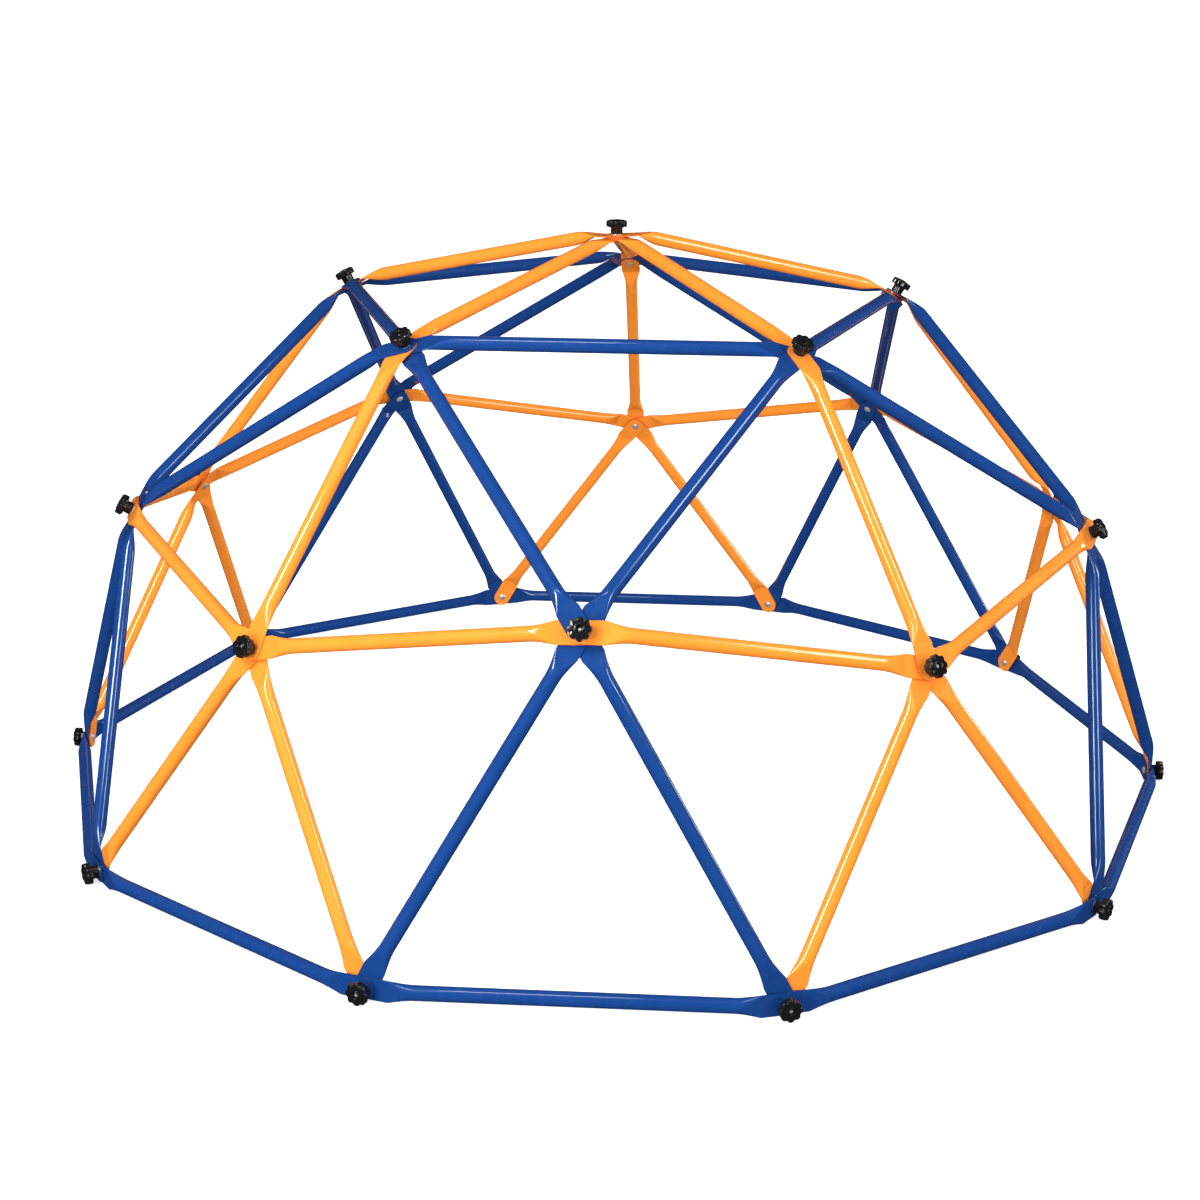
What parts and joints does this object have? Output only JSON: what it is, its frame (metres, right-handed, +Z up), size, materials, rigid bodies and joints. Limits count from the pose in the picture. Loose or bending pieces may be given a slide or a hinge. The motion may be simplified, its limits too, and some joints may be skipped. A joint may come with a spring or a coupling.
{
  "type": "dome climber",
  "caption": "Geodesic climbing dome of orange and blue steel tubes with flattened ends, stacked on bolts under star-shaped hand knobs.",
  "frame": {"origin": "on the ground, at the centre of the base ring, under the apex", "axes": "+Z up; -Y towards the front hub of the waist, where six tubes meet; +X to the right of someone facing the dome"},
  "size_m": [2.5144, 2.4022, 1.2458],
  "materials": {
    "orange_powder_coat": "glossy powder coat on steel tube",
    "blue_powder_coat": "glossy powder coat on steel tube",
    "black_knob_plastic": "semi-gloss moulded nylon",
    "zinc_plated_steel": "bright zinc plate"
  },
  "bodies": {
    "frame": {"meridian_ribs": "orange_powder_coat", "crown_ring": "blue_powder_coat", "crown_braces": "blue_powder_coat", "waist_ring": "orange_powder_coat", "short_legs": "orange_powder_coat", "long_legs": "blue_powder_coat", "base_ring": "blue_powder_coat", "hub_bolts": "zinc_plated_steel"},
    "washer_apex": {"washer_apex": "zinc_plated_steel"},
    "knob_apex": {"knob_apex": "black_knob_plastic"},
    "washer_crown_1": {"washer_crown_1": "zinc_plated_steel"},
    "knob_crown_1": {"knob_crown_1": "black_knob_plastic"},
    "washer_crown_2": {"washer_crown_2": "zinc_plated_steel"},
    "knob_crown_2": {"knob_crown_2": "black_knob_plastic"},
    "washer_crown_3": {"washer_crown_3": "zinc_plated_steel"},
    "knob_crown_3": {"knob_crown_3": "black_knob_plastic"},
    "washer_crown_4": {"washer_crown_4": "zinc_plated_steel"},
    "knob_crown_4": {"knob_crown_4": "black_knob_plastic"},
    "washer_crown_5": {"washer_crown_5": "zinc_plated_steel"},
    "knob_crown_5": {"knob_crown_5": "black_knob_plastic"},
    "washer_waist_1": {"washer_waist_1": "zinc_plated_steel"},
    "knob_waist_1": {"knob_waist_1": "black_knob_plastic"},
    "washer_base_1": {"washer_base_1": "zinc_plated_steel"},
    "knob_base_1": {"knob_base_1": "black_knob_plastic"},
    "washer_waist_2": {"washer_waist_2": "zinc_plated_steel"},
    "knob_waist_2": {"knob_waist_2": "black_knob_plastic"},
    "washer_base_2": {"washer_base_2": "zinc_plated_steel"},
    "knob_base_2": {"knob_base_2": "black_knob_plastic"},
    "washer_waist_3": {"washer_waist_3": "zinc_plated_steel"},
    "knob_waist_3": {"knob_waist_3": "black_knob_plastic"},
    "washer_base_3": {"washer_base_3": "zinc_plated_steel"},
    "knob_base_3": {"knob_base_3": "black_knob_plastic"},
    "washer_waist_4": {"washer_waist_4": "zinc_plated_steel"},
    "knob_waist_4": {"knob_waist_4": "black_knob_plastic"},
    "washer_base_4": {"washer_base_4": "zinc_plated_steel"},
    "knob_base_4": {"knob_base_4": "black_knob_plastic"},
    "washer_waist_5": {"washer_waist_5": "zinc_plated_steel"},
    "knob_waist_5": {"knob_waist_5": "black_knob_plastic"},
    "washer_base_5": {"washer_base_5": "zinc_plated_steel"},
    "knob_base_5": {"knob_base_5": "black_knob_plastic"},
    "washer_waist_6": {"washer_waist_6": "zinc_plated_steel"},
    "knob_waist_6": {"knob_waist_6": "black_knob_plastic"},
    "washer_base_6": {"washer_base_6": "zinc_plated_steel"},
    "knob_base_6": {"knob_base_6": "black_knob_plastic"},
    "washer_waist_7": {"washer_waist_7": "zinc_plated_steel"},
    "knob_waist_7": {"knob_waist_7": "black_knob_plastic"},
    "washer_base_7": {"washer_base_7": "zinc_plated_steel"},
    "knob_base_7": {"knob_base_7": "black_knob_plastic"},
    "washer_waist_8": {"washer_waist_8": "zinc_plated_steel"},
    "knob_waist_8": {"knob_waist_8": "black_knob_plastic"},
    "washer_base_8": {"washer_base_8": "zinc_plated_steel"},
    "knob_base_8": {"knob_base_8": "black_knob_plastic"},
    "washer_waist_9": {"washer_waist_9": "zinc_plated_steel"},
    "knob_waist_9": {"knob_waist_9": "black_knob_plastic"},
    "washer_base_9": {"washer_base_9": "zinc_plated_steel"},
    "knob_base_9": {"knob_base_9": "black_knob_plastic"},
    "washer_waist_10": {"washer_waist_10": "zinc_plated_steel"},
    "knob_waist_10": {"knob_waist_10": "black_knob_plastic"},
    "washer_base_10": {"washer_base_10": "zinc_plated_steel"},
    "knob_base_10": {"knob_base_10": "black_knob_plastic"}
  },
  "joints": [
    {"name": "knob_apex_travel", "type": "slide", "parent": "frame", "child": "washer_apex", "axis": [0, 0, 1], "range_m": [0, 0.0244]},
    {"name": "knob_apex_turn", "type": "hinge", "parent": "washer_apex", "child": "knob_apex", "pos_m": [0, 0, 1.2158], "axis": [0, 0, 1], "range_deg": [0, 6840]},
    {"name": "knob_crown_1_travel", "type": "slide", "parent": "frame", "child": "washer_crown_1", "axis": [0.309, -0.4253, 0.8507], "range_m": [0, 0.0216]},
    {"name": "knob_crown_1_turn", "type": "hinge", "parent": "washer_crown_1", "child": "knob_crown_1", "pos_m": [0.38009, -0.52315, 1.0688], "axis": [0.309, -0.4253, 0.8507], "range_deg": [0, 6120]},
    {"name": "knob_crown_2_travel", "type": "slide", "parent": "frame", "child": "washer_crown_2", "axis": [0.5, 0.1625, 0.8507], "range_m": [0, 0.0216]},
    {"name": "knob_crown_2_turn", "type": "hinge", "parent": "washer_crown_2", "child": "knob_crown_2", "pos_m": [0.615, 0.19983, 1.0688], "axis": [0.5, 0.1625, 0.8507], "range_deg": [0, 6120]},
    {"name": "knob_crown_3_travel", "type": "slide", "parent": "frame", "child": "washer_crown_3", "axis": [0, 0.5257, 0.8507], "range_m": [0, 0.0216]},
    {"name": "knob_crown_3_turn", "type": "hinge", "parent": "washer_crown_3", "child": "knob_crown_3", "pos_m": [0, 0.64665, 1.0688], "axis": [0, 0.5257, 0.8507], "range_deg": [0, 6120]},
    {"name": "knob_crown_4_travel", "type": "slide", "parent": "frame", "child": "washer_crown_4", "axis": [-0.5, 0.1625, 0.8507], "range_m": [0, 0.0216]},
    {"name": "knob_crown_4_turn", "type": "hinge", "parent": "washer_crown_4", "child": "knob_crown_4", "pos_m": [-0.615, 0.19983, 1.0688], "axis": [-0.5, 0.1625, 0.8507], "range_deg": [0, 6120]},
    {"name": "knob_crown_5_travel", "type": "slide", "parent": "frame", "child": "washer_crown_5", "axis": [-0.309, -0.4253, 0.8507], "range_m": [0, 0.0216]},
    {"name": "knob_crown_5_turn", "type": "hinge", "parent": "washer_crown_5", "child": "knob_crown_5", "pos_m": [-0.38009, -0.52315, 1.0688], "axis": [-0.309, -0.4253, 0.8507], "range_deg": [0, 6120]},
    {"name": "knob_waist_1_travel", "type": "slide", "parent": "frame", "child": "washer_waist_1", "axis": [0, -0.8507, 0.5257], "range_m": [0, 0.0216]},
    {"name": "knob_waist_1_turn", "type": "hinge", "parent": "washer_waist_1", "child": "knob_waist_1", "pos_m": [0, -1.0463, 0.66915], "axis": [0, -0.8507, 0.5257], "range_deg": [0, 6120]},
    {"name": "knob_base_1_travel", "type": "slide", "parent": "frame", "child": "washer_base_1", "axis": [0.309, -0.9511, 0], "range_m": [0, 0.0272]},
    {"name": "knob_base_1_turn", "type": "hinge", "parent": "washer_base_1", "child": "knob_base_1", "pos_m": [0.37922, -1.16713, 0.0225], "axis": [0.309, -0.9511, 0], "range_deg": [0, 7560]},
    {"name": "knob_waist_2_travel", "type": "slide", "parent": "frame", "child": "washer_waist_2", "axis": [0.5257, -0.7236, 0.4472], "range_m": [0, 0.0244]},
    {"name": "knob_waist_2_turn", "type": "hinge", "parent": "washer_waist_2", "child": "knob_waist_2", "pos_m": [0.62735, -0.86348, 0.55616], "axis": [0.5257, -0.7236, 0.4472], "range_deg": [0, 6840]},
    {"name": "knob_base_2_travel", "type": "slide", "parent": "frame", "child": "washer_base_2", "axis": [0.809, -0.5878, 0], "range_m": [0, 0.0272]},
    {"name": "knob_base_2_turn", "type": "hinge", "parent": "washer_base_2", "child": "knob_base_2", "pos_m": [0.99282, -0.72133, 0.0225], "axis": [0.809, -0.5878, 0], "range_deg": [0, 7560]},
    {"name": "knob_waist_3_travel", "type": "slide", "parent": "frame", "child": "washer_waist_3", "axis": [0.809, -0.2629, 0.5257], "range_m": [0, 0.0216]},
    {"name": "knob_waist_3_turn", "type": "hinge", "parent": "washer_waist_3", "child": "knob_waist_3", "pos_m": [0.99509, -0.32332, 0.66915], "axis": [0.809, -0.2629, 0.5257], "range_deg": [0, 6120]},
    {"name": "knob_base_3_travel", "type": "slide", "parent": "frame", "child": "washer_base_3", "axis": [1, 0, 0], "range_m": [0, 0.0272]},
    {"name": "knob_base_3_turn", "type": "hinge", "parent": "washer_base_3", "child": "knob_base_3", "pos_m": [1.2272, 0, 0.0225], "axis": [1, 0, 0], "range_deg": [0, 7560]},
    {"name": "knob_waist_4_travel", "type": "slide", "parent": "frame", "child": "washer_waist_4", "axis": [0.8507, 0.2764, 0.4472], "range_m": [0, 0.0244]},
    {"name": "knob_waist_4_turn", "type": "hinge", "parent": "washer_waist_4", "child": "knob_waist_4", "pos_m": [1.01508, 0.32982, 0.55616], "axis": [0.8507, 0.2764, 0.4472], "range_deg": [0, 6840]},
    {"name": "knob_base_4_travel", "type": "slide", "parent": "frame", "child": "washer_base_4", "axis": [0.809, 0.5878, 0], "range_m": [0, 0.0272]},
    {"name": "knob_base_4_turn", "type": "hinge", "parent": "washer_base_4", "child": "knob_base_4", "pos_m": [0.99282, 0.72133, 0.0225], "axis": [0.809, 0.5878, 0], "range_deg": [0, 7560]},
    {"name": "knob_waist_5_travel", "type": "slide", "parent": "frame", "child": "washer_waist_5", "axis": [0.5, 0.6882, 0.5257], "range_m": [0, 0.0216]},
    {"name": "knob_waist_5_turn", "type": "hinge", "parent": "washer_waist_5", "child": "knob_waist_5", "pos_m": [0.615, 0.84647, 0.66915], "axis": [0.5, 0.6882, 0.5257], "range_deg": [0, 6120]},
    {"name": "knob_base_5_travel", "type": "slide", "parent": "frame", "child": "washer_base_5", "axis": [0.309, 0.9511, 0], "range_m": [0, 0.0272]},
    {"name": "knob_base_5_turn", "type": "hinge", "parent": "washer_base_5", "child": "knob_base_5", "pos_m": [0.37922, 1.16713, 0.0225], "axis": [0.309, 0.9511, 0], "range_deg": [0, 7560]},
    {"name": "knob_waist_6_travel", "type": "slide", "parent": "frame", "child": "washer_waist_6", "axis": [0, 0.8944, 0.4472], "range_m": [0, 0.0244]},
    {"name": "knob_waist_6_turn", "type": "hinge", "parent": "washer_waist_6", "child": "knob_waist_6", "pos_m": [0, 1.06732, 0.55616], "axis": [0, 0.8944, 0.4472], "range_deg": [0, 6840]},
    {"name": "knob_base_6_travel", "type": "slide", "parent": "frame", "child": "washer_base_6", "axis": [-0.309, 0.9511, 0], "range_m": [0, 0.0272]},
    {"name": "knob_base_6_turn", "type": "hinge", "parent": "washer_base_6", "child": "knob_base_6", "pos_m": [-0.37922, 1.16713, 0.0225], "axis": [-0.309, 0.9511, 0], "range_deg": [0, 7560]},
    {"name": "knob_waist_7_travel", "type": "slide", "parent": "frame", "child": "washer_waist_7", "axis": [-0.5, 0.6882, 0.5257], "range_m": [0, 0.0216]},
    {"name": "knob_waist_7_turn", "type": "hinge", "parent": "washer_waist_7", "child": "knob_waist_7", "pos_m": [-0.615, 0.84647, 0.66915], "axis": [-0.5, 0.6882, 0.5257], "range_deg": [0, 6120]},
    {"name": "knob_base_7_travel", "type": "slide", "parent": "frame", "child": "washer_base_7", "axis": [-0.809, 0.5878, 0], "range_m": [0, 0.0272]},
    {"name": "knob_base_7_turn", "type": "hinge", "parent": "washer_base_7", "child": "knob_base_7", "pos_m": [-0.99282, 0.72133, 0.0225], "axis": [-0.809, 0.5878, 0], "range_deg": [0, 7560]},
    {"name": "knob_waist_8_travel", "type": "slide", "parent": "frame", "child": "washer_waist_8", "axis": [-0.8507, 0.2764, 0.4472], "range_m": [0, 0.0244]},
    {"name": "knob_waist_8_turn", "type": "hinge", "parent": "washer_waist_8", "child": "knob_waist_8", "pos_m": [-1.01508, 0.32982, 0.55616], "axis": [-0.8507, 0.2764, 0.4472], "range_deg": [0, 6840]},
    {"name": "knob_base_8_travel", "type": "slide", "parent": "frame", "child": "washer_base_8", "axis": [-1, 0, 0], "range_m": [0, 0.0272]},
    {"name": "knob_base_8_turn", "type": "hinge", "parent": "washer_base_8", "child": "knob_base_8", "pos_m": [-1.2272, 0, 0.0225], "axis": [-1, 0, 0], "range_deg": [0, 7560]},
    {"name": "knob_waist_9_travel", "type": "slide", "parent": "frame", "child": "washer_waist_9", "axis": [-0.809, -0.2629, 0.5257], "range_m": [0, 0.0216]},
    {"name": "knob_waist_9_turn", "type": "hinge", "parent": "washer_waist_9", "child": "knob_waist_9", "pos_m": [-0.99509, -0.32332, 0.66915], "axis": [-0.809, -0.2629, 0.5257], "range_deg": [0, 6120]},
    {"name": "knob_base_9_travel", "type": "slide", "parent": "frame", "child": "washer_base_9", "axis": [-0.809, -0.5878, 0], "range_m": [0, 0.0272]},
    {"name": "knob_base_9_turn", "type": "hinge", "parent": "washer_base_9", "child": "knob_base_9", "pos_m": [-0.99282, -0.72133, 0.0225], "axis": [-0.809, -0.5878, 0], "range_deg": [0, 7560]},
    {"name": "knob_waist_10_travel", "type": "slide", "parent": "frame", "child": "washer_waist_10", "axis": [-0.5257, -0.7236, 0.4472], "range_m": [0, 0.0244]},
    {"name": "knob_waist_10_turn", "type": "hinge", "parent": "washer_waist_10", "child": "knob_waist_10", "pos_m": [-0.62735, -0.86348, 0.55616], "axis": [-0.5257, -0.7236, 0.4472], "range_deg": [0, 6840]},
    {"name": "knob_base_10_travel", "type": "slide", "parent": "frame", "child": "washer_base_10", "axis": [-0.309, -0.9511, 0], "range_m": [0, 0.0272]},
    {"name": "knob_base_10_turn", "type": "hinge", "parent": "washer_base_10", "child": "knob_base_10", "pos_m": [-0.37922, -1.16713, 0.0225], "axis": [-0.309, -0.9511, 0], "range_deg": [0, 7560]}
  ],
  "couplings": [
    {"joint": "knob_apex_travel", "follows": "knob_apex_turn", "m_per_rad": 0.00019894},
    {"joint": "knob_crown_1_travel", "follows": "knob_crown_1_turn", "m_per_rad": 0.00019894},
    {"joint": "knob_crown_2_travel", "follows": "knob_crown_2_turn", "m_per_rad": 0.00019894},
    {"joint": "knob_crown_3_travel", "follows": "knob_crown_3_turn", "m_per_rad": 0.00019894},
    {"joint": "knob_crown_4_travel", "follows": "knob_crown_4_turn", "m_per_rad": 0.00019894},
    {"joint": "knob_crown_5_travel", "follows": "knob_crown_5_turn", "m_per_rad": 0.00019894},
    {"joint": "knob_waist_1_travel", "follows": "knob_waist_1_turn", "m_per_rad": 0.00019894},
    {"joint": "knob_base_1_travel", "follows": "knob_base_1_turn", "m_per_rad": 0.00019894},
    {"joint": "knob_waist_2_travel", "follows": "knob_waist_2_turn", "m_per_rad": 0.00019894},
    {"joint": "knob_base_2_travel", "follows": "knob_base_2_turn", "m_per_rad": 0.00019894},
    {"joint": "knob_waist_3_travel", "follows": "knob_waist_3_turn", "m_per_rad": 0.00019894},
    {"joint": "knob_base_3_travel", "follows": "knob_base_3_turn", "m_per_rad": 0.00019894},
    {"joint": "knob_waist_4_travel", "follows": "knob_waist_4_turn", "m_per_rad": 0.00019894},
    {"joint": "knob_base_4_travel", "follows": "knob_base_4_turn", "m_per_rad": 0.00019894},
    {"joint": "knob_waist_5_travel", "follows": "knob_waist_5_turn", "m_per_rad": 0.00019894},
    {"joint": "knob_base_5_travel", "follows": "knob_base_5_turn", "m_per_rad": 0.00019894},
    {"joint": "knob_waist_6_travel", "follows": "knob_waist_6_turn", "m_per_rad": 0.00019894},
    {"joint": "knob_base_6_travel", "follows": "knob_base_6_turn", "m_per_rad": 0.00019894},
    {"joint": "knob_waist_7_travel", "follows": "knob_waist_7_turn", "m_per_rad": 0.00019894},
    {"joint": "knob_base_7_travel", "follows": "knob_base_7_turn", "m_per_rad": 0.00019894},
    {"joint": "knob_waist_8_travel", "follows": "knob_waist_8_turn", "m_per_rad": 0.00019894},
    {"joint": "knob_base_8_travel", "follows": "knob_base_8_turn", "m_per_rad": 0.00019894},
    {"joint": "knob_waist_9_travel", "follows": "knob_waist_9_turn", "m_per_rad": 0.00019894},
    {"joint": "knob_base_9_travel", "follows": "knob_base_9_turn", "m_per_rad": 0.00019894},
    {"joint": "knob_waist_10_travel", "follows": "knob_waist_10_turn", "m_per_rad": 0.00019894},
    {"joint": "knob_base_10_travel", "follows": "knob_base_10_turn", "m_per_rad": 0.00019894}
  ]
}
